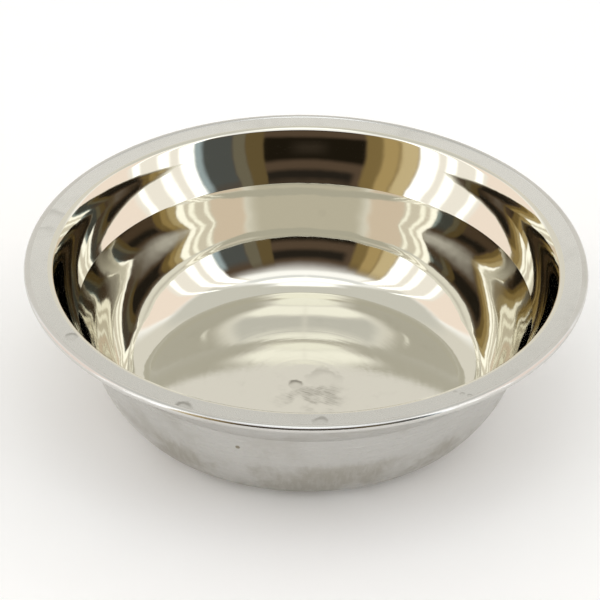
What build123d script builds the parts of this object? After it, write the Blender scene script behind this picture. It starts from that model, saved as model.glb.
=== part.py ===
"""A round pressed basin of stainless sheet with a flat flange and a rolled bead, in millimetres.

The basin is one piece of sheet. Its section is drawn once, from the middle of the floor out to the
free edge hidden inside the bead, and turned about the upright axis. The floor's underside is at z = 0.
"""
from build123d import *
import math
import os

# Overall sizes
rim_diameter = 300.0
overall_height = 84.0
sheet = 0.6

# Floor and lower wall, radii at the middle of the sheet, slopes in degrees above level
floor_radius = 85.0
floor_corner_radius = 22.8
floor_corner_slope = 50.0
heel_radius = 65.5
heel_slope = 69.5
waist_slope = 74.8
shoulder_radius = 285.0
shoulder_slope = 71.3

# Crease between the lower wall and the upper band
crease_radius = 0.8
upper_band_low_slope = 54.6

# Upper band, which is hollow below and rounds over to the lip above
upper_band_radius = 67.5
upper_band_steepest_slope = 72.0
lip_approach_radius = 54.0
lip_approach_slope = 62.5
lip_radius = 3.0

# Rolled bead at the edge of the flange
bead_diameter = 4.4
neck_radius = 1.5
bead_above_flange = 0.65
bead_end_gap = 0.3


class SheetSection:
    """Walks along the middle of the sheet and draws both of its faces.

    Points lie in the XZ plane. A bend's angle is positive where the section turns upward.
    """

    def __init__(self, thickness):
        self.half = thickness / 2
        self.radius = 0.0
        self.height = self.half
        self.heading = 0.0
        self.inner_edges = []
        self.outer_edges = []

    def face_point(self, side, heading=None, radius=None, height=None):
        """Give the point on one face; side is 1 for the upper or inner face and -1 for the other."""
        heading = self.heading if heading is None else heading
        radius = self.radius if radius is None else radius
        height = self.height if height is None else height
        across = side * self.half
        return (radius - across * math.sin(heading), 0, height + across * math.cos(heading))

    def straight(self, length):
        """Go straight on by a length."""
        starts = [self.face_point(side) for side in (1, -1)]
        self.radius += length * math.cos(self.heading)
        self.height += length * math.sin(self.heading)
        ends = [self.face_point(side) for side in (1, -1)]
        self.inner_edges.append(Line(starts[0], ends[0]))
        self.outer_edges.append(Line(starts[1], ends[1]))

    def bend(self, bend_radius, degrees):
        """Turn through an angle at a radius measured at the middle of the sheet."""
        turn = math.radians(degrees)
        sign = math.copysign(1, turn)
        centre_radius = self.radius - sign * bend_radius * math.sin(self.heading)
        centre_height = self.height + sign * bend_radius * math.cos(self.heading)
        stations = []
        for share in (0, 0.5, 1):
            heading = self.heading + share * turn
            radius = centre_radius + sign * bend_radius * math.sin(heading)
            height = centre_height - sign * bend_radius * math.cos(heading)
            stations.append((heading, radius, height))
        self.inner_edges.append(ThreePointArc(*[self.face_point(1, *station) for station in stations]))
        self.outer_edges.append(ThreePointArc(*[self.face_point(-1, *station) for station in stations]))
        self.heading, self.radius, self.height = stations[-1]

    def solid(self):
        """Close the section at the axis and at the free edge, and turn it about Z."""
        middle = Line((0, 0, 0), (0, 0, 2 * self.half))
        free_edge = Line(self.face_point(1), self.face_point(-1))
        section = make_face([middle, free_edge] + self.inner_edges + self.outer_edges)
        return revolve(section, Axis.Z, 360)


def rise(bend_radius, low_slope, high_slope):
    """Give the height gained along a bend between two slopes in degrees."""
    return bend_radius * (math.cos(math.radians(low_slope)) - math.cos(math.radians(high_slope)))


def bead_angles():
    """Give the neck's turn into the bead and the bead's own turn past it, in degrees."""
    roll_radius = (bead_diameter - sheet) / 2
    neck_turn = math.degrees(math.acos(1 - bead_above_flange / (neck_radius + roll_radius)))
    flange_middle = roll_radius - bead_above_flange
    end_height = flange_middle - sheet / 2 - bead_end_gap
    past_upright = math.degrees(math.asin(end_height / roll_radius))
    return roll_radius, neck_turn, neck_turn + 270 + past_upright


def make_bowl_shell():
    """Press the whole basin, with its bead, as one solid of even thickness."""
    roll_radius, neck_turn, roll_turn = bead_angles()
    flange_height = overall_height - sheet / 2 - bead_above_flange
    fixed_rise = rise(floor_corner_radius, 0, floor_corner_slope)
    fixed_rise += rise(heel_radius, floor_corner_slope, heel_slope)
    fixed_rise += rise(shoulder_radius, shoulder_slope, waist_slope)
    fixed_rise += rise(crease_radius, upper_band_low_slope, shoulder_slope)
    fixed_rise += rise(upper_band_radius, upper_band_low_slope, upper_band_steepest_slope)
    fixed_rise += rise(lip_approach_radius, lip_approach_slope, upper_band_steepest_slope)
    fixed_rise += rise(lip_radius, 0, lip_approach_slope)
    wall_rise = flange_height - sheet / 2 - fixed_rise
    wall_radius = wall_rise / rise(1, heel_slope, waist_slope)

    section = SheetSection(sheet)
    section.straight(floor_radius)
    section.bend(floor_corner_radius, floor_corner_slope)
    section.bend(heel_radius, heel_slope - floor_corner_slope)
    section.bend(wall_radius, waist_slope - heel_slope)
    section.bend(shoulder_radius, shoulder_slope - waist_slope)
    section.bend(crease_radius, upper_band_low_slope - shoulder_slope)
    section.bend(upper_band_radius, upper_band_steepest_slope - upper_band_low_slope)
    section.bend(lip_approach_radius, lip_approach_slope - upper_band_steepest_slope)
    section.bend(lip_radius, -lip_approach_slope)
    neck_reach = (neck_radius + roll_radius) * math.sin(math.radians(neck_turn))
    bead_centre = (rim_diameter - bead_diameter) / 2
    flange_width = bead_centre - neck_reach - section.radius
    print("wall radius", round(wall_radius, 2))
    print("flange from", round(section.radius, 2), "width", round(flange_width, 2))
    section.straight(flange_width)
    section.bend(neck_radius, neck_turn)
    section.bend(roll_radius, -roll_turn)
    return section.solid()


os.makedirs("parts", exist_ok=True)
export_step(make_bowl_shell(), "parts/bowl_shell.step")
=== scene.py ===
"""A round pressed basin of stainless steel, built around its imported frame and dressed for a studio.

The basin is one sheet: floor, lower wall, crease, upper band, lip, flat flange and rolled bead. The
section is walked once along the middle of the sheet and turned about the upright axis. Each stretch
of the section belongs to a zone, and each zone has its own finish.
"""

import logging
import math
from dataclasses import dataclass
from enum import Enum
from typing import Iterator

import bmesh
import bpy
from mathutils import Matrix, Vector


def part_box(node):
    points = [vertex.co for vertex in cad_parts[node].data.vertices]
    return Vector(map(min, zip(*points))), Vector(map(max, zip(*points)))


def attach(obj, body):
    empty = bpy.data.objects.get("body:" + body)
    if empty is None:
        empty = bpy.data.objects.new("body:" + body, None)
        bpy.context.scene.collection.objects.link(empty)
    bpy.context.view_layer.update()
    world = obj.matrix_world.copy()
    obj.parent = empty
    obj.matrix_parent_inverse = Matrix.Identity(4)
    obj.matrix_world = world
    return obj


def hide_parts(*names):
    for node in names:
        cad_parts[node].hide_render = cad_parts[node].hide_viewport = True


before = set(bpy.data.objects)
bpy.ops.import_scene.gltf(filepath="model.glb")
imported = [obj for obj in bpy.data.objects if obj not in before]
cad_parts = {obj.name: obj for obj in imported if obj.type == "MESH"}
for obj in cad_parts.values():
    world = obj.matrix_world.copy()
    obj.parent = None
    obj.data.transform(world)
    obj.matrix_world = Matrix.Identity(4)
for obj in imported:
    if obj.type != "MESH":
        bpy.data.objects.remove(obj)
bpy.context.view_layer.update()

LOG = logging.getLogger("basin")
MM = 0.001

Sockets = dict[str, bpy.types.NodeSocket]
Colour = tuple[float, float, float]


class Zone(Enum):
    """The stretches of the sheet that are finished differently."""

    SPUN_FLOOR = 0
    POLISHED_WALL = 1
    SATIN_FLANGE = 2
    BRIGHT_BEAD = 3
    SATIN_OUTSIDE = 4


@dataclass(frozen=True)
class Station:
    """One point on the middle of the sheet.

    Args:
        radius: distance from the axis, in metres.
        height: height above the floor's underside, in metres.
        heading: direction of the section there, in radians above level.
        zone: finish of the upper or inner face from the station before up to this one.
        back_zone: finish of the other face on the same stretch.
    """

    radius: float
    height: float
    heading: float
    zone: Zone
    back_zone: Zone

    def face(self, across: float) -> tuple[float, float]:
        """Find a point on one face of the sheet.

        Args:
            across: distance from the middle of the sheet, positive towards the upper or inner face.

        Returns:
            The point's radius and height.
        """
        return (
            self.radius - across * math.sin(self.heading),
            self.height + across * math.cos(self.heading),
        )


@dataclass
class SheetSection:
    """The section of the basin, as bends and straights of one even sheet.

    All sizes are in metres and all slopes in degrees above level. Radii of bends are measured at the
    middle of the sheet.
    """

    overall_height: float
    rim_diameter: float = 300.0 * MM
    sheet: float = 0.6 * MM
    floor_radius: float = 85.0 * MM
    floor_corner_radius: float = 22.8 * MM
    floor_corner_slope: float = 50.0
    heel_radius: float = 65.5 * MM
    heel_slope: float = 69.5
    waist_slope: float = 74.8
    shoulder_radius: float = 285.0 * MM
    shoulder_slope: float = 71.3
    crease_radius: float = 0.8 * MM
    upper_band_low_slope: float = 54.6
    upper_band_radius: float = 67.5 * MM
    upper_band_steepest_slope: float = 72.0
    lip_approach_radius: float = 54.0 * MM
    lip_approach_slope: float = 62.5
    lip_radius: float = 3.0 * MM
    bead_diameter: float = 4.4 * MM
    neck_radius: float = 1.5 * MM
    bead_above_flange: float = 0.65 * MM
    bead_end_gap: float = 0.3 * MM
    longest_step: float = 3.0 * MM
    largest_turn: float = 4.0

    def stations(self) -> list[Station]:
        """Walk the whole section.

        Returns:
            The stations in order, from the axis at the floor to the free edge in the bead.
        """
        roll = (self.bead_diameter - self.sheet) / 2
        neck_turn = math.degrees(math.acos(1 - self.bead_above_flange / (self.neck_radius + roll)))
        flange_height = self.overall_height - self.sheet / 2 - self.bead_above_flange
        end_height = roll - self.bead_above_flange - self.sheet / 2 - self.bead_end_gap
        roll_turn = neck_turn + 270 + math.degrees(math.asin(end_height / roll))

        upper = [
            (self.crease_radius, self.upper_band_low_slope - self.shoulder_slope),
            (self.upper_band_radius, self.upper_band_steepest_slope - self.upper_band_low_slope),
            (self.lip_approach_radius, self.lip_approach_slope - self.upper_band_steepest_slope),
        ]
        shoulder = (self.shoulder_radius, self.shoulder_slope - self.waist_slope)
        corner = (self.floor_corner_radius, self.floor_corner_slope)
        heel = (self.heel_radius, self.heel_slope - self.floor_corner_slope)
        fixed = self._rise(0, [corner, heel]) + self._rise(self.waist_slope, [shoulder, *upper])
        fixed += self._rise(self.lip_approach_slope, [(self.lip_radius, -self.lip_approach_slope)])
        wall_turn = self.waist_slope - self.heel_slope
        wall_rise = flange_height - self.sheet / 2 - fixed
        wall = (wall_rise / self._rise(self.heel_slope, [(1.0, wall_turn)]), wall_turn)

        outside = Zone.SATIN_OUTSIDE
        path = [Station(0.0, self.sheet / 2, 0.0, Zone.SPUN_FLOOR, outside)]
        self._straight(path, self.floor_radius, Zone.SPUN_FLOOR, outside)
        for bend in (corner, heel, wall, shoulder, *upper):
            self._bend(path, *bend, Zone.POLISHED_WALL, outside)
        self._bend(path, self.lip_radius, -self.lip_approach_slope, Zone.POLISHED_WALL, outside)
        neck_reach = (self.neck_radius + roll) * math.sin(math.radians(neck_turn))
        bead_middle = self.rim_diameter / 2 - self.bead_diameter / 2
        flange = bead_middle - neck_reach - path[-1].radius
        self._straight(path, flange, Zone.SATIN_FLANGE, outside)
        self._bend(path, self.neck_radius, neck_turn, Zone.SATIN_FLANGE, outside)
        self._bend(path, roll, -roll_turn, Zone.BRIGHT_BEAD, Zone.BRIGHT_BEAD)
        return path

    def _rise(self, slope: float, bends: list[tuple[float, float]]) -> float:
        """Work out the height gained by bends that follow each other.

        Args:
            slope: slope where the first bend begins, in degrees.
            bends: radius and turn of each bend, the turn in degrees and positive upward.

        Returns:
            The height gained, in metres.
        """
        total = 0.0
        for radius, turn in bends:
            start, end = math.radians(slope), math.radians(slope + turn)
            total += math.copysign(radius, turn) * (math.cos(start) - math.cos(end))
            slope += turn
        return total

    def _straight(self, path: list[Station], length: float, zone: Zone, back_zone: Zone) -> None:
        """Add stations along a straight stretch.

        Args:
            path: stations so far, which grow.
            length: length of the stretch.
            zone: finish of the upper or inner face.
            back_zone: finish of the other face.
        """
        start = path[-1]
        steps = max(1, math.ceil(length / self.longest_step))
        for step in range(1, steps + 1):
            reach = length * step / steps
            radius = start.radius + reach * math.cos(start.heading)
            height = start.height + reach * math.sin(start.heading)
            path.append(Station(radius, height, start.heading, zone, back_zone))

    def _bend(
        self, path: list[Station], radius: float, turn: float, zone: Zone, back_zone: Zone
    ) -> None:
        """Add stations along a bend.

        Args:
            path: stations so far, which grow.
            radius: radius at the middle of the sheet.
            turn: angle turned through in degrees, positive upward.
            zone: finish of the upper or inner face.
            back_zone: finish of the other face.
        """
        start = path[-1]
        signed = math.copysign(radius, turn)
        by_turn = abs(turn) / self.largest_turn
        by_length = radius * math.radians(abs(turn)) / self.longest_step
        steps = max(2, math.ceil(max(by_turn, by_length)))
        for step in range(1, steps + 1):
            heading = start.heading + math.radians(turn) * step / steps
            along = start.radius + signed * (math.sin(heading) - math.sin(start.heading))
            up = start.height - signed * (math.cos(heading) - math.cos(start.heading))
            path.append(Station(along, up, heading, zone, back_zone))


@dataclass
class BowlShell:
    """The whole basin as one turned sheet.

    Args:
        section: the section that is turned.
        slices: number of steps round the axis.
        name: name of the piece.
    """

    section: SheetSection
    slices: int = 256
    name: str = "bowl_shell_pressed"

    def build(self, finishes: dict[Zone, bpy.types.Material]) -> bpy.types.Object:
        """Turn the section into a closed mesh and give each zone its finish.

        Args:
            finishes: one material for each zone.

        Returns:
            The piece, linked to the scene.
        """
        mesh = bpy.data.meshes.new(self.name)
        for zone in Zone:
            mesh.materials.append(finishes[zone])
        shape = bmesh.new()
        outline = list(self._outline())
        rings = [self._ring(shape, radius, height) for radius, height, _ in outline]
        for ring, following, (_, _, zone) in zip(rings, rings[1:], outline[1:]):
            self._band(shape, ring, following, zone)
        shape.normal_update()
        shape.to_mesh(mesh)
        shape.free()
        piece = bpy.data.objects.new(self.name, mesh)
        bpy.context.scene.collection.objects.link(piece)
        return piece

    def _outline(self) -> Iterator[tuple[float, float, Zone]]:
        """Walk the closed outline: up the inner face, round the free edge and back down.

        Yields:
            The radius and height of each corner, with the zone of the stretch that ends there.
        """
        stations = self.section.stations()
        half = self.section.sheet / 2
        for station in stations:
            yield (*station.face(half), station.zone)
        yield (*stations[-1].face(-half), Zone.BRIGHT_BEAD)
        for station, before in zip(stations[-2::-1], stations[:0:-1]):
            yield (*station.face(-half), before.back_zone)

    def _ring(
        self, shape: bmesh.types.BMesh, radius: float, height: float
    ) -> list[bmesh.types.BMVert]:
        """Make the vertices at one radius and height.

        Args:
            shape: mesh being built.
            radius: distance from the axis.
            height: height above the floor's underside.

        Returns:
            The vertices in order round the axis, or a single one on the axis.
        """
        if radius == 0.0:
            return [shape.verts.new((0.0, 0.0, height))]
        turns = (2 * math.pi * k / self.slices for k in range(self.slices))
        return [shape.verts.new((radius * math.cos(t), radius * math.sin(t), height)) for t in turns]

    def _band(
        self,
        shape: bmesh.types.BMesh,
        low: list[bmesh.types.BMVert],
        high: list[bmesh.types.BMVert],
        zone: Zone,
    ) -> None:
        """Join two rings with faces that look away from the sheet.

        Args:
            shape: mesh being built.
            low: ring that comes first along the outline.
            high: ring that follows it.
            zone: finish of the faces.
        """
        for k in range(self.slices):
            after = (k + 1) % self.slices
            upward = [low[k % len(low)], high[k % len(high)]]
            corners = [*upward, high[after % len(high)], low[after % len(low)]]
            unique = [c for i, c in enumerate(corners) if c not in corners[:i]]
            face = shape.faces.new(unique)
            face.smooth = True
            face.material_index = zone.value


class NodeSheet:
    """A thin helper that lays shader nodes into one tree and links them.

    Args:
        tree: the node tree of a material, a world or a group.
    """

    def __init__(self, tree: bpy.types.NodeTree) -> None:
        """Keep the tree that nodes are laid into."""
        self.tree = tree

    def add(self, kind: str, **settings: object) -> bpy.types.Node:
        """Add a node.

        Args:
            kind: the node's type.
            settings: plain settings of the node by name.

        Returns:
            The node.
        """
        node = self.tree.nodes.new(kind)
        for key, value in settings.items():
            setattr(node, key, value)
        return node

    def feed(self, socket: bpy.types.NodeSocket, value: object) -> None:
        """Link an output into a socket, or set the socket's own value.

        Args:
            socket: input that is fed.
            value: output of another node, a colour or a number.
        """
        if isinstance(value, bpy.types.NodeSocket):
            self.tree.links.new(value, socket)
        elif isinstance(value, tuple) and len(value) == 3 and socket.type == "RGBA":
            socket.default_value = (*value, 1.0)
        else:
            socket.default_value = value

    def math(self, operation: str, *values: object) -> bpy.types.NodeSocket:
        """Add a Math node.

        Args:
            operation: what it works out.
            values: the numbers it works on.

        Returns:
            The result.
        """
        node = self.add("ShaderNodeMath", operation=operation)
        for socket, value in zip(node.inputs, values):
            self.feed(socket, value)
        return node.outputs[0]

    def step(
        self, value: object, low: object, high: object, to: tuple[float, float] = (0.0, 1.0)
    ) -> bpy.types.NodeSocket:
        """Rise smoothly from one number to another as a value goes from low to high.

        Args:
            value: number that is followed.
            low: where the rise begins.
            high: where the rise ends, which may lie below its start.
            to: numbers given before and after the rise.

        Returns:
            The risen number.
        """
        node = self.add("ShaderNodeMapRange", interpolation_type="SMOOTHSTEP")
        names = ("Value", "From Min", "From Max", "To Min", "To Max")
        for name, given in zip(names, (value, low, high, *to)):
            self.feed(node.inputs[name], given)
        return node.outputs["Result"]

    def vector(self, x: object, y: object, z: object) -> bpy.types.NodeSocket:
        """Join three numbers into a vector.

        Args:
            x: first number.
            y: second number.
            z: third number.

        Returns:
            The vector.
        """
        node = self.add("ShaderNodeCombineXYZ")
        for socket, value in zip(node.inputs, (x, y, z)):
            self.feed(socket, value)
        return node.outputs[0]

    def times(self, first: object, second: object) -> bpy.types.NodeSocket:
        """Multiply two numbers."""
        return self.math("MULTIPLY", first, second)

    def plus(self, first: object, second: object) -> bpy.types.NodeSocket:
        """Add two numbers."""
        return self.math("ADD", first, second)

    def noise(
        self, place: object, scale: object, detail: float = 3.0, roughness: float = 0.5
    ) -> bpy.types.NodeSocket:
        """Add a Noise texture.

        Args:
            place: vector it is read at.
            scale: how small its features are.
            detail: how many finer layers it has.
            roughness: how strong the finer layers are.

        Returns:
            Its value, which stays near a half.
        """
        node = self.add("ShaderNodeTexNoise")
        values = {"Vector": place, "Scale": scale, "Detail": detail, "Roughness": roughness}
        for name, value in values.items():
            self.feed(node.inputs[name], value)
        return node.outputs["Fac"]

    def blend(self, share: object, first: object, second: object) -> bpy.types.NodeSocket:
        """Blend two colours.

        Args:
            share: how much of the second colour shows.
            first: the first colour.
            second: the second colour.

        Returns:
            The blended colour.
        """
        node = self.add("ShaderNodeMix", data_type="RGBA")
        colours = [socket for socket in node.inputs if socket.type == "RGBA"]
        self.feed(node.inputs["Factor"], share)
        self.feed(colours[0], first)
        self.feed(colours[1], second)
        return next(socket for socket in node.outputs if socket.type == "RGBA")

    def group(self, group: bpy.types.NodeTree, **values: object) -> Sockets:
        """Place a group with its own values.

        Args:
            group: the node group.
            values: input values, named like the group's inputs in small letters with low lines.

        Returns:
            The group's outputs by name.
        """
        node = self.add("ShaderNodeGroup", node_tree=group)
        for name, value in values.items():
            self.feed(node.inputs[name.replace("_", " ").title()], value)
        return {socket.name: socket for socket in node.outputs}


def start_group(
    name: str, inputs: dict[str, float], outputs: list[str]
) -> tuple[NodeSheet, Sockets, Sockets]:
    """Start a node group with number inputs and number outputs.

    Args:
        name: the group's name.
        inputs: input names with their usual values.
        outputs: output names.

    Returns:
        The sheet to lay nodes on, the input sockets and the output sockets, both by name.
    """
    tree = bpy.data.node_groups.new(name, "ShaderNodeTree")
    for title, usual in inputs.items():
        socket = tree.interface.new_socket(title, in_out="INPUT", socket_type="NodeSocketFloat")
        socket.default_value = usual
    for title in outputs:
        tree.interface.new_socket(title, in_out="OUTPUT", socket_type="NodeSocketFloat")
    sheet = NodeSheet(tree)
    entry, leave = sheet.add("NodeGroupInput"), sheet.add("NodeGroupOutput")
    return sheet, {s.name: s for s in entry.outputs}, {s.name: s for s in leave.inputs}


class SharedMarks:
    """The node groups that more than one finish uses, each built once."""

    def __init__(self) -> None:
        """Build every group."""
        self.place = self._place()
        self.lathe_lines = self._lathe_lines()
        self.brushing = self._brushing()
        self.clouds = self._clouds()
        self.water_mark = self._water_mark()
        self.scuff = self._scuff()
        self.radial_ticks = self._radial_ticks()
        self.worn_band = self._worn_band()

    def _place(self) -> bpy.types.NodeTree:
        """Build the group that gives the position on the basin.

        Returns:
            The group, with X, Y, Height, Radius, Turn in radians, and Reach, which is radius and height
            together and so grows along the whole sheet.
        """
        outputs = ["X", "Y", "Height", "Radius", "Turn", "Reach"]
        sheet, _, out = start_group("place_on_basin", {}, outputs)
        spot = sheet.add("ShaderNodeTexCoord").outputs["Object"]
        parts = sheet.add("ShaderNodeSeparateXYZ")
        sheet.feed(parts.inputs[0], spot)
        x, y, z = parts.outputs
        radius = sheet.math("SQRT", sheet.plus(sheet.times(x, x), sheet.times(y, y)))
        values = (x, y, z, radius, sheet.math("ARCTAN2", x, y), sheet.plus(radius, z))
        for name, value in zip(outputs, values):
            sheet.feed(out[name], value)
        return sheet.tree

    def _lathe_lines(self) -> bpy.types.NodeTree:
        """Build fine lines that run round the basin, fainter and stronger from place to place.

        Returns:
            The group, with Lines near a half.
        """
        sheet, given, out = start_group("lathe_lines", {"Per Metre": 2500.0}, ["Lines"])
        place = sheet.group(self.place)
        across = sheet.times(place["Reach"], given["Per Metre"])
        changes_per_metre = 9.0
        slow_x, slow_y = (sheet.times(place[name], changes_per_metre) for name in ("X", "Y"))
        sheet.feed(out["Lines"], sheet.noise(sheet.vector(slow_x, slow_y, across), 1.0, 2.0))
        return sheet.tree

    def _brushing(self) -> bpy.types.NodeTree:
        """Build short fine scratches that cross the circle at a slant.

        Returns:
            The group, with Scratches near a half.
        """
        names = {"Slant": 0.6, "Per Metre": 2600.0}
        sheet, given, out = start_group("slanted_brushing", names, ["Scratches"])
        place = sheet.group(self.place)
        flange_radius, lengths_per_metre = 142.0 * MM, 90.0
        leaning = sheet.times(place["Reach"], given["Slant"])
        along = sheet.plus(sheet.times(place["Turn"], flange_radius), leaning)
        packed = sheet.times(along, given["Per Metre"])
        field = sheet.vector(packed, sheet.times(place["Reach"], lengths_per_metre), 0.0)
        sheet.feed(out["Scratches"], sheet.noise(field, 1.0, 1.5, 0.5))
        return sheet.tree

    def _clouds(self) -> bpy.types.NodeTree:
        """Build soft cloudy patches.

        Returns:
            The group, with Patches from none to full.
        """
        names = {"Scale": 30.0, "Low": 0.45, "High": 0.7, "Seed": 0.0}
        sheet, given, out = start_group("soft_clouds", names, ["Patches"])
        place = sheet.group(self.place)
        spot = sheet.vector(sheet.plus(place["X"], given["Seed"]), place["Y"], place["Height"])
        cloudy = sheet.noise(spot, given["Scale"], 6.0, 0.62)
        sheet.feed(out["Patches"], sheet.step(cloudy, given["Low"], given["High"]))
        return sheet.tree

    def _water_mark(self) -> bpy.types.NodeTree:
        """Build one dried drop or spot: a faint uneven disc, darker along its rear edge.

        Returns:
            The group, with Mark as the share of stain.
        """
        names = {"At X": 0.0, "At Y": 0.0, "At Height": 0.0, "Size": 0.004}
        names |= {"Edge": 0.35, "Share": 0.7, "Fill": 0.16}
        sheet, given, out = start_group("dried_drop", names, ["Mark"])
        place = sheet.group(self.place)
        offsets = [sheet.math("SUBTRACT", place[n], given["At " + n]) for n in ("X", "Y", "Height")]
        squares = [sheet.times(offset, offset) for offset in offsets]
        away = sheet.math("SQRT", sheet.plus(sheet.plus(squares[0], squares[1]), squares[2]))
        wobble = sheet.noise(sheet.vector(place["X"], place["Y"], place["Height"]), 160.0, 3.0)
        uneven = sheet.plus(sheet.times(wobble, 1.3), 0.35)
        ratio = sheet.math("DIVIDE", away, sheet.times(given["Size"], uneven))
        disc = sheet.step(ratio, 1.2, 0.75)
        edge_start = sheet.math("SUBTRACT", 1.0, given["Edge"])
        rim = sheet.times(disc, sheet.step(ratio, edge_start, 1.0))
        rearward = sheet.step(sheet.math("DIVIDE", offsets[1], given["Size"]), -0.3, 0.9)
        half_moon = sheet.times(rim, sheet.plus(rearward, 0.04))
        mark = sheet.plus(sheet.times(disc, given["Fill"]), half_moon)
        sheet.feed(out["Mark"], sheet.times(mark, given["Share"]))
        return sheet.tree

    def _scuff(self) -> bpy.types.NodeTree:
        """Build one scuffed patch: short scratches that fade out from its middle.

        Returns:
            The group, with Mark as the share of stain.
        """
        names = {"At X": 0.0, "At Y": 0.0, "Size": 0.01, "Share": 0.6}
        sheet, given, out = start_group("scuffed_patch", names, ["Mark"])
        place = sheet.group(self.place)
        across = sheet.math("SUBTRACT", place["X"], given["At X"])
        along = sheet.math("SUBTRACT", place["Y"], given["At Y"])
        squares = [sheet.times(offset, offset) for offset in (across, along)]
        away = sheet.math("SQRT", sheet.plus(*squares))
        fade = sheet.step(sheet.math("DIVIDE", away, given["Size"]), 1.0, 0.1)
        slanted = sheet.plus(sheet.times(along, 900.0), sheet.times(across, 420.0))
        field = sheet.vector(sheet.times(across, 130.0), slanted, 0.0)
        scratches = sheet.noise(field, 1.0, 3.0, 0.55)
        blotches = sheet.noise(sheet.vector(place["X"], place["Y"], 0.0), 85.0, 2.5, 0.5)
        smeared = sheet.plus(sheet.times(sheet.step(scratches, 0.42, 0.68), 0.6), 0.4)
        both = sheet.times(smeared, sheet.step(blotches, 0.38, 0.62))
        sheet.feed(out["Mark"], sheet.times(sheet.times(both, fade), given["Share"]))
        return sheet.tree

    def _worn_band(self) -> bpy.types.NodeTree:
        """Build a scuffed and stained band with a ragged upper edge.

        Returns:
            The group, with Mark as the share of stain.
        """
        sheet, given, out = start_group("worn_band", {"Below": 0.04}, ["Mark"])
        place = sheet.group(self.place)
        streaks_per_radian, streaks_per_metre = 34.0, 90.0
        upright = sheet.times(place["Height"], streaks_per_metre)
        field = sheet.vector(sheet.times(place["Turn"], streaks_per_radian), upright, 0.0)
        streaks = sheet.noise(field, 1.0, 4.0, 0.6)
        spot = sheet.vector(place["X"], place["Y"], place["Height"])
        blotches = sheet.noise(spot, 34.0, 5.0, 0.6)
        edge = sheet.plus(given["Below"], sheet.times(streaks, 14.0 * MM))
        under = sheet.math("SUBTRACT", edge, place["Height"])
        faded = sheet.step(under, -1.0 * MM, 7.0 * MM)
        band = sheet.times(faded, sheet.step(blotches, 0.38, 0.60))
        scratched = sheet.plus(0.38, sheet.times(sheet.step(streaks, 0.60, 0.45), 0.14))
        sheet.feed(out["Mark"], sheet.times(band, scratched))
        return sheet.tree

    def _radial_ticks(self) -> bpy.types.NodeTree:
        """Build fine marks that run outward from the axis.

        Returns:
            The group, with Ticks near a half.
        """
        sheet, given, out = start_group("radial_ticks", {"Per Radian": 260.0}, ["Ticks"])
        place = sheet.group(self.place)
        round_it = sheet.times(place["Turn"], given["Per Radian"])
        lengths_per_metre = 110.0
        field = sheet.vector(round_it, sheet.times(place["Radius"], lengths_per_metre), 0.0)
        sheet.feed(out["Ticks"], sheet.noise(field, 1.0, 2.0))
        return sheet.tree


@dataclass(frozen=True)
class Drop:
    """A dried drop or spot.

    Args:
        x: place to the right, in metres.
        y: place to the rear, in metres.
        height: height above the floor's underside, in metres.
        size: radius, in metres.
        edge: width of its darker edge, as a share of its radius.
        share: how strongly it shows.
        fill: how dark its middle is beside its edge.
    """

    x: float
    y: float
    height: float
    size: float
    edge: float
    share: float
    fill: float = 0.16


@dataclass(frozen=True)
class Scuff:
    """A patch of short scratches on the floor.

    Args:
        x: place to the right, in metres.
        y: place to the rear, in metres.
        size: radius, in metres.
        share: how strongly it shows.
    """

    x: float
    y: float
    size: float
    share: float


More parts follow.
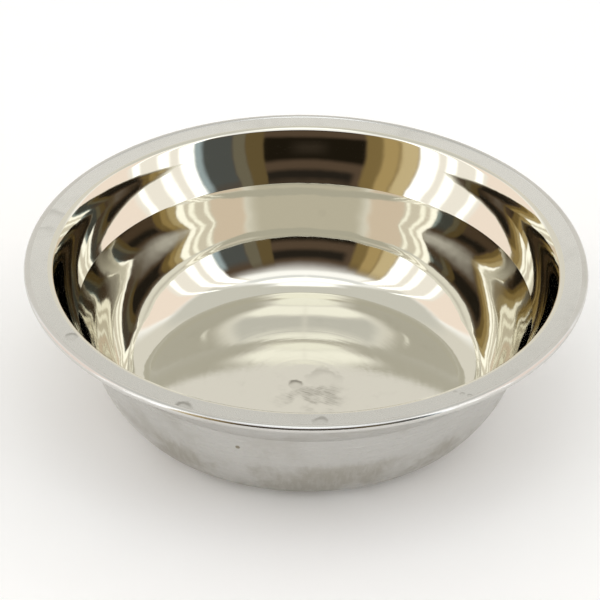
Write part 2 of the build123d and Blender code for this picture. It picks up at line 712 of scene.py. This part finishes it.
@dataclass(frozen=True)
class SteelFinish:
    """One finish of the same stainless sheet.

    Args:
        name: name of the material.
        steel: clean colour of the metal.
        stain: colour where it is stained; the painted shade at the front is blended towards it too.
        roughness: lowest and highest roughness.
        lines_per_metre: how close the lathe lines stand; none at zero.
        lines_depth: height of the lathe lines, in metres.
        brush_depth: height of the slanted scratches, in metres; none at zero.
        brush_slant: how far the scratches lean, as run over reach.
        brush_per_metre: how close the scratches stand.
        wave_depth: height of the slow waves left by pressing, in metres.
        cloud_scale: how small the stained patches are.
        cloud_range: where in the noise the patches begin and are full.
        cloud_share: how strongly the patches show.
        cloud_seed: shifts the patches, in metres.
        front_painted_shade: how much darker the front of the basin is painted, a painted shade.
        worn_below: height below which the sheet is scuffed and stained, in metres; none at zero.
        radial_depth: height of the fine marks that run outward, in metres; none at zero.
        drops: dried drops and spots.
        scuffs: scuffed patches with short scratches in them.
    """

    name: str
    steel: Colour
    stain: Colour
    roughness: tuple[float, float]
    lines_per_metre: float = 2500.0
    lines_depth: float = 0.0
    brush_depth: float = 0.0
    brush_slant: float = 0.6
    brush_per_metre: float = 2600.0
    wave_depth: float = 0.0
    cloud_scale: float = 30.0
    cloud_range: tuple[float, float] = (0.5, 0.75)
    cloud_share: float = 0.3
    cloud_seed: float = 0.0
    front_painted_shade: float = 0.0
    worn_below: float = 0.0
    radial_depth: float = 0.0
    drops: tuple[Drop, ...] = ()
    scuffs: tuple[Scuff, ...] = ()

    def make(self, marks: SharedMarks) -> bpy.types.Material:
        """Make the material.

        Args:
            marks: the shared node groups.

        Returns:
            The material.
        """
        material = bpy.data.materials.new(self.name)
        material.use_nodes = True
        sheet = NodeSheet(material.node_tree)
        shader = material.node_tree.nodes["Principled BSDF"]
        shader.inputs["Metallic"].default_value = 1.0
        place = sheet.group(marks.place)
        stain_and_painted_shade = self._stains_and_painted_shade(sheet, marks, place)
        wear, heights = self._relief(sheet, marks, place, stain_and_painted_shade)
        self._finish(sheet, shader, stain_and_painted_shade, wear, heights)
        return material

    def _stains_and_painted_shade(self, sheet: NodeSheet, marks: SharedMarks, place: Sockets) -> bpy.types.NodeSocket:
        """Lay clouds, drops, scuffs, the painted shade at the front and the worn band over each other.

        Args:
            sheet: where the nodes are laid.
            marks: the shared node groups.
            place: position on the basin, by name.

        Returns:
            The share of stain, together with the painted shade at the front, in the colour.
        """
        low, high = self.cloud_range
        cloudy = {"scale": self.cloud_scale, "low": low, "high": high, "seed": self.cloud_seed}
        patches = sheet.group(marks.clouds, **cloudy)["Patches"]
        stain_and_painted_shade = sheet.times(patches, self.cloud_share)
        for drop in self.drops:
            spot = {"at_x": drop.x, "at_y": drop.y, "at_height": drop.height, "size": drop.size}
            look = {"edge": drop.edge, "share": drop.share, "fill": drop.fill}
            mark = sheet.group(marks.water_mark, **spot, **look)
            stain_and_painted_shade = sheet.math("MAXIMUM", stain_and_painted_shade, mark["Mark"])
        for scuff in self.scuffs:
            spot = {"at_x": scuff.x, "at_y": scuff.y, "size": scuff.size}
            mark = sheet.group(marks.scuff, share=scuff.share, **spot)
            stain_and_painted_shade = sheet.math("MAXIMUM", stain_and_painted_shade, mark["Mark"])
        # Painted shade: the colour darkens towards the front of the basin, more the further forward.
        if self.front_painted_shade:
            frontward = sheet.step(place["Y"], 60.0 * MM, -130.0 * MM)
            stain_and_painted_shade = sheet.plus(stain_and_painted_shade, sheet.times(frontward, self.front_painted_shade))
        if self.worn_below:
            ragged = sheet.group(marks.worn_band, below=self.worn_below)["Mark"]
            stain_and_painted_shade = sheet.math("MAXIMUM", stain_and_painted_shade, ragged)
        return stain_and_painted_shade

    def _relief(
        self, sheet: NodeSheet, marks: SharedMarks, place: Sockets, stain_and_painted_shade: bpy.types.NodeSocket
    ) -> tuple[bpy.types.NodeSocket, list[tuple[bpy.types.NodeSocket, float]]]:
        """Cut lines, scratches, fine outward marks and slow waves into the sheet.

        Args:
            sheet: where the nodes are laid.
            marks: the shared node groups.
            place: position on the basin, by name.
            stain_and_painted_shade: share of stain and of the painted shade at the front, which
                roughens the sheet too.

        Returns:
            The share of the way to the highest roughness, and the bumps with their heights in metres.
        """
        heights = []
        wear = sheet.times(stain_and_painted_shade, 0.7)
        if self.lines_depth:
            lines = sheet.group(marks.lathe_lines, per_metre=self.lines_per_metre)["Lines"]
            heights.append((lines, self.lines_depth))
            wear = sheet.plus(wear, sheet.times(sheet.step(lines, 0.35, 0.65), 0.3))
        if self.brush_depth:
            brush = sheet.group(marks.brushing, slant=self.brush_slant, per_metre=self.brush_per_metre)
            scratches = brush["Scratches"]
            heights.append((scratches, self.brush_depth))
            wear = sheet.plus(wear, sheet.times(sheet.step(scratches, 0.35, 0.65), 0.4))
        if self.radial_depth:
            heights.append((sheet.group(marks.radial_ticks)["Ticks"], self.radial_depth))
        if self.wave_depth:
            spot = sheet.vector(place["X"], place["Y"], place["Height"])
            heights.append((sheet.noise(spot, 26.0, 1.0), self.wave_depth))
            heights.append((sheet.noise(spot, 120.0, 1.0), 0.1 * self.wave_depth))
        return wear, heights

    def _finish(
        self,
        sheet: NodeSheet,
        shader: bpy.types.Node,
        stain_and_painted_shade: bpy.types.NodeSocket,
        wear: bpy.types.NodeSocket,
        heights: list[tuple[bpy.types.NodeSocket, float]],
    ) -> None:
        """Link colour, roughness and bumps into the shader.

        Args:
            sheet: where the nodes are laid.
            shader: the shader they feed.
            stain_and_painted_shade: share of stain and of the painted shade at the front in the colour.
            wear: share of the way from the lowest to the highest roughness.
            heights: bump values, each with its height in metres.
        """
        # The colour blends towards the stain colour by the stains and by the painted shade at the
        # front.
        sheet.feed(shader.inputs["Base Color"], sheet.blend(stain_and_painted_shade, self.steel, self.stain))
        sheet.feed(shader.inputs["Roughness"], sheet.step(wear, 0.0, 1.0, self.roughness))
        normal = None
        for height, depth in heights:
            bump = sheet.add("ShaderNodeBump")
            sheet.feed(bump.inputs["Strength"], 1.0)
            sheet.feed(bump.inputs["Distance"], depth)
            sheet.feed(bump.inputs["Height"], height)
            if normal is not None:
                sheet.feed(bump.inputs["Normal"], normal)
            normal = bump.outputs["Normal"]
        if normal is not None:
            sheet.feed(shader.inputs["Normal"], normal)


def make_finishes() -> dict[Zone, bpy.types.Material]:
    """Make every finish of the basin.

    Returns:
        One material for each zone.
    """
    marks = SharedMarks()
    on_floor, on_flange = 0.6 * MM, 83.3 * MM
    floor_drops = (
        Drop(-4.4 * MM, 0.8 * MM, on_floor, 4.4 * MM, 0.95, 1.0),
        Drop(11.0 * MM, 6.5 * MM, on_floor, 10.0 * MM, 0.75, 0.35),
        Drop(-2.2 * MM, -6.6 * MM, on_floor, 3.8 * MM, 0.8, 0.4),
    )
    floor_scuffs = (
        Scuff(7.5 * MM, -9.5 * MM, 21.0 * MM, 0.95),
        Scuff(12.0 * MM, -10.0 * MM, 9.0 * MM, 0.8),
        Scuff(-8.0 * MM, -10.0 * MM, 14.0 * MM, 0.7),
    )
    wall_drops = (Drop(9.0 * MM, 117.0 * MM, 38.0 * MM, 2.4 * MM, 0.7, 0.6),)
    flange_drops = (
        Drop(-60.0 * MM, -134.0 * MM, on_flange, 5.0 * MM, 0.6, 0.9),
        Drop(8.2 * MM, -144.0 * MM, on_flange, 4.0 * MM, 0.8, 0.6),
        Drop(-119.4 * MM, -74.6 * MM, on_flange, 3.4 * MM, 0.8, 0.7),
        Drop(79.2 * MM, -118.2 * MM, on_flange, 1.6 * MM, 0.9, 0.6),
        Drop(75.7 * MM, -116.6 * MM, on_flange, 1.1 * MM, 0.9, 0.6),
        Drop(83.1 * MM, -119.5 * MM, on_flange, 1.4 * MM, 0.9, 0.6),
        Drop(-138.0 * MM, 36.0 * MM, on_flange, 9.0 * MM, 0.9, 0.35),
        Drop(-143.0 * MM, 22.0 * MM, on_flange, 7.0 * MM, 0.9, 0.3),
    )
    outside_marks = (
        Drop(-33.0 * MM, -113.3 * MM, 45.0 * MM, 1.5 * MM, 0.9, 1.6, 1.0),
        Drop(45.0 * MM, -103.0 * MM, 34.0 * MM, 2.2 * MM, 0.9, 0.7, 0.6),
        Drop(-62.0 * MM, -94.0 * MM, 36.0 * MM, 3.4 * MM, 0.9, 0.6, 0.5),
    )
    finishes = {
        Zone.SPUN_FLOOR: SteelFinish(
            "spun_floor_steel", (0.70, 0.68, 0.61), (0.26, 0.245, 0.21), (0.05, 0.16),
            lines_per_metre=330.0, lines_depth=0.02 * MM, cloud_scale=70.0, cloud_range=(0.55, 0.8),
            cloud_share=0.12, radial_depth=0.004 * MM, drops=floor_drops, scuffs=floor_scuffs,
        ),
        Zone.POLISHED_WALL: SteelFinish(
            "polished_wall_steel", (0.70, 0.677, 0.59), (0.50, 0.48, 0.42), (0.035, 0.14),
            lines_per_metre=2200.0, lines_depth=0.0006 * MM, wave_depth=0.25 * MM, cloud_scale=45.0,
            cloud_range=(0.6, 0.85), cloud_share=0.12, drops=wall_drops,
        ),
        Zone.SATIN_FLANGE: SteelFinish(
            "satin_flange_steel", (0.71, 0.705, 0.675), (0.36, 0.35, 0.32), (0.20, 0.42),
            lines_per_metre=1200.0, lines_depth=0.005 * MM, brush_depth=0.02 * MM, brush_slant=0.8,
            brush_per_metre=850.0, cloud_scale=24.0, cloud_range=(0.50, 0.8), cloud_share=0.35,
            # The front of the flange is darkened by a painted shade.
            front_painted_shade=0.30, drops=flange_drops,
        ),
        Zone.BRIGHT_BEAD: SteelFinish(
            "bright_bead_steel", (0.62, 0.61, 0.58), (0.42, 0.40, 0.35), (0.12, 0.32),
            lines_per_metre=2500.0, lines_depth=0.002 * MM, cloud_scale=40.0, cloud_share=0.25,
        ),
        Zone.SATIN_OUTSIDE: SteelFinish(
            "satin_outside_steel", (0.62, 0.612, 0.585), (0.32, 0.29, 0.22), (0.24, 0.46),
            lines_per_metre=1500.0, lines_depth=0.004 * MM, brush_depth=0.004 * MM, brush_slant=3.0,
            wave_depth=0.15 * MM, cloud_scale=28.0, cloud_range=(0.48, 0.72), cloud_share=0.25,
            cloud_seed=0.3, worn_below=29.0 * MM, drops=outside_marks,
        ),
    }
    return {zone: finish.make(marks) for zone, finish in finishes.items()}


@dataclass(frozen=True)
class ViewCamera:
    """The camera, placed by its distance and angle from the middle of the rim.

    Args:
        distance: distance from the middle of the rim, in metres.
        elevation: angle above level, in degrees.
        roll: turn about its own line of sight, in degrees.
        lens: focal length, in millimetres.
        sensor: width of the sensor, in millimetres.
        aim_left: how far left of the axis it aims, in metres.
        aim_below_rim: how far below the bead's middle it aims, in metres.
    """

    distance: float = 1.68
    elevation: float = 33.8
    roll: float = 0.92
    lens: float = 189.3
    sensor: float = 36.0
    aim_left: float = 3.0 * MM
    aim_below_rim: float = 24.2 * MM

    def build(self, rim_height: float) -> None:
        """Make the camera and make it the scene's own.

        Args:
            rim_height: height of the bead's middle.
        """
        data = bpy.data.cameras.new("view_camera")
        data.lens = self.lens
        data.sensor_width = self.sensor
        camera = bpy.data.objects.new("view_camera", data)
        bpy.context.scene.collection.objects.link(camera)
        tilt = math.radians(self.elevation)
        centre = Vector((0, 0, rim_height))
        place = centre + self.distance * Vector((0, -math.cos(tilt), math.sin(tilt)))
        aim = Vector((-self.aim_left, 0, rim_height - self.aim_below_rim))
        turn = (aim - place).to_track_quat("-Z", "Y").to_matrix().to_4x4()
        roll = Matrix.Rotation(math.radians(self.roll), 4, "Z")
        camera.matrix_world = Matrix.Translation(place) @ turn @ roll
        bpy.context.scene.camera = camera


@dataclass(frozen=True)
class LightPanel:
    """A plain soft patch of the studio, given by the directions that it covers from the basin.

    Args:
        name: what the patch stands for.
        azimuth: its sides, in degrees from the front, positive to the right.
        elevation: its foot and top, in degrees above level.
        light: its colour and brightness.
        softness: widths of its soft sides and of its soft foot and top, in degrees.
        both_sides: whether it is repeated at the same angle to the left.
    """

    name: str
    azimuth: tuple[float, float]
    elevation: tuple[float, float]
    light: Colour
    softness: tuple[float, float] = (4.0, 6.0)
    both_sides: bool = False


@dataclass
class Studio:
    """A pale light tent, open at the front towards a darker room, with a pale floor.

    The tent is plain soft light from all round. Only reflections and lighting see it; the camera sees
    a pale backdrop.

    Args:
        tent: light of the tent where no panel covers it.
        backdrop: what the camera sees behind the basin.
        floor_colour: colour of the floor.
        floor_glow: light that the floor gives off itself, as it would pass through a lit sheet.
        half_floor: half the floor's side, in metres.
        panels: patches of the tent and the room, each over the ones before it.
    """

    tent: Colour = (1.42, 1.44, 1.50)
    backdrop: Colour = (1.0, 1.0, 1.0)
    floor_colour: Colour = (0.93, 0.93, 0.92)
    floor_glow: float = 0.12
    half_floor: float = 6.0
    panels: tuple[LightPanel, ...] = (
        LightPanel("rear_wall", (124, 200), (-10, 90), (0.94, 0.92, 0.87), (22, 6), both_sides=True),
        LightPanel("side_wall", (82, 118), (-30, 50), (1.22, 1.07, 0.99), (8, 10), both_sides=True),
        LightPanel("lamp_backing", (47, 85), (-30, 60), (1.20, 1.16, 1.12), (3, 10), both_sides=True),
        LightPanel("roof_rear", (70, 200), (50, 81), (0.80, 0.80, 0.77), (24, 8), both_sides=True),
        LightPanel("roof_front", (-1, 60), (62, 69), (1.00, 1.03, 1.08), (14, 5), both_sides=True),
        LightPanel("roof_lamp", (-1, 60), (70, 80), (1.75, 1.8, 1.85), (14, 3), both_sides=True),
        LightPanel("roof_top", (-1, 200), (82.5, 91), (1.65, 1.7, 1.7), (14, 3), both_sides=True),
        LightPanel("side_lamp_near", (51, 59), (-10, 60), (2.1, 2.15, 2.25), (3, 6), both_sides=True),
        LightPanel("side_lamp_middle", (64, 69), (-10, 60), (2.0, 2.05, 2.1), (3, 6), both_sides=True),
        LightPanel("side_lamp_far", (79, 82.5), (-10, 60), (1.9, 1.95, 2.0), (2.5, 6), both_sides=True),
        LightPanel("room", (-50, 51), (-30, 45), (0.117, 0.080, 0.054), (2, 18)),
        LightPanel("tan_wall_far", (-50, -42), (-30, 43), (0.76, 0.62, 0.36), (2, 16)),
        LightPanel("tan_wall_middle", (-42, -33), (-30, 42), (0.53, 0.39, 0.17), (4, 16)),
        LightPanel("tan_wall_near", (-34, -26), (-30, 39), (0.27, 0.19, 0.075), (3, 16)),
        LightPanel("dark_cupboards", (-26, 21), (-30, 17), (0.016, 0.012, 0.007), (3, 6)),
        LightPanel("dim_middle", (-7, 6), (-30, 9), (0.055, 0.042, 0.030), (10, 14)),
        LightPanel("dark_shelf", (-22, 21), (26, 35), (0.026, 0.021, 0.016), (4, 6)),
        LightPanel("tan_post", (20, 28), (-30, 38), (0.16, 0.115, 0.05), (1.5, 12)),
        LightPanel("cream_post", (28, 34), (-30, 38), (0.19, 0.17, 0.12), (1.5, 12)),
        LightPanel("grey_wall", (34, 49), (-30, 32), (0.098, 0.106, 0.105), (2, 10)),
        LightPanel("bluish_edge", (48, 52), (-30, 32), (0.42, 0.52, 0.58), (3, 8)),
    )

    def build(self) -> None:
        """Make the floor and the tent."""
        self._build_floor()
        self._build_tent()

    def _build_floor(self) -> None:
        """Lay the pale floor at the height of the basin's underside."""
        mesh = bpy.data.meshes.new("studio_floor")
        side = self.half_floor
        corners = [(-side, -side, 0), (side, -side, 0), (side, side, 0), (-side, side, 0)]
        mesh.from_pydata(corners, [], [(0, 1, 2, 3)])
        floor = bpy.data.objects.new("studio_floor", mesh)
        bpy.context.scene.collection.objects.link(floor)
        material = bpy.data.materials.new("pale_floor")
        material.use_nodes = True
        sheet = NodeSheet(material.node_tree)
        shader = material.node_tree.nodes["Principled BSDF"]
        grain = sheet.noise(sheet.add("ShaderNodeTexCoord").outputs["Object"], 40.0, 4.0)
        dimmer = tuple(0.97 * c for c in self.floor_colour)
        sheet.feed(shader.inputs["Base Color"], sheet.blend(grain, self.floor_colour, dimmer))
        shader.inputs["Roughness"].default_value = 0.8
        shader.inputs["Emission Color"].default_value = (*self.floor_colour, 1.0)
        shader.inputs["Emission Strength"].default_value = self.floor_glow
        mesh.materials.append(material)

    def _build_tent(self) -> None:
        """Paint the panels round the basin, each over the ones before it."""
        world = bpy.data.worlds.new("light_tent")
        world.use_nodes = True
        sheet = NodeSheet(world.node_tree)
        background = world.node_tree.nodes["Background"]
        parts = sheet.add("ShaderNodeSeparateXYZ")
        sheet.feed(parts.inputs[0], sheet.add("ShaderNodeTexCoord").outputs["Generated"])
        x, y, z = parts.outputs
        azimuth = sheet.math("DEGREES", sheet.math("ARCTAN2", x, sheet.times(y, -1.0)))
        aside = sheet.math("ABSOLUTE", azimuth)
        elevation = sheet.math("DEGREES", sheet.math("ARCSINE", z))
        light = self.tent
        for panel in self.panels:
            across = aside if panel.both_sides else azimuth
            wide = self._between(sheet, across, panel.azimuth, panel.softness[0])
            tall = self._between(sheet, elevation, panel.elevation, panel.softness[1])
            light = sheet.blend(sheet.times(wide, tall), light, panel.light)
        seen = sheet.add("ShaderNodeLightPath").outputs["Is Camera Ray"]
        sheet.feed(background.inputs["Color"], sheet.blend(seen, light, self.backdrop))
        bpy.context.scene.world = world

    def _between(
        self, sheet: NodeSheet, value: object, span: tuple[float, float], soft: float
    ) -> bpy.types.NodeSocket:
        """Give one inside a span and nothing outside it.

        Args:
            sheet: where the nodes are laid.
            value: number that is followed.
            span: ends of the span.
            soft: width of its soft edges.

        Returns:
            The share inside.
        """
        low = sheet.step(value, span[0] - soft / 2, span[0] + soft / 2)
        high = sheet.step(value, span[1] + soft / 2, span[1] - soft / 2)
        return sheet.times(low, high)


def main() -> None:
    """Build the basin and its studio."""
    logging.basicConfig(level=logging.INFO, format="%(name)s: %(message)s")
    low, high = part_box("bowl_shell")
    section = SheetSection(overall_height=high.z - low.z)
    shell = BowlShell(section).build(make_finishes())
    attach(shell, "root")
    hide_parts("bowl_shell")
    ViewCamera().build(high.z - section.bead_diameter / 2)
    Studio().build()
    bpy.context.scene.view_settings.view_transform = "Standard"
    LOG.info("%s: %d faces", shell.name, len(shell.data.polygons))


if __name__ == "__main__":
    main()
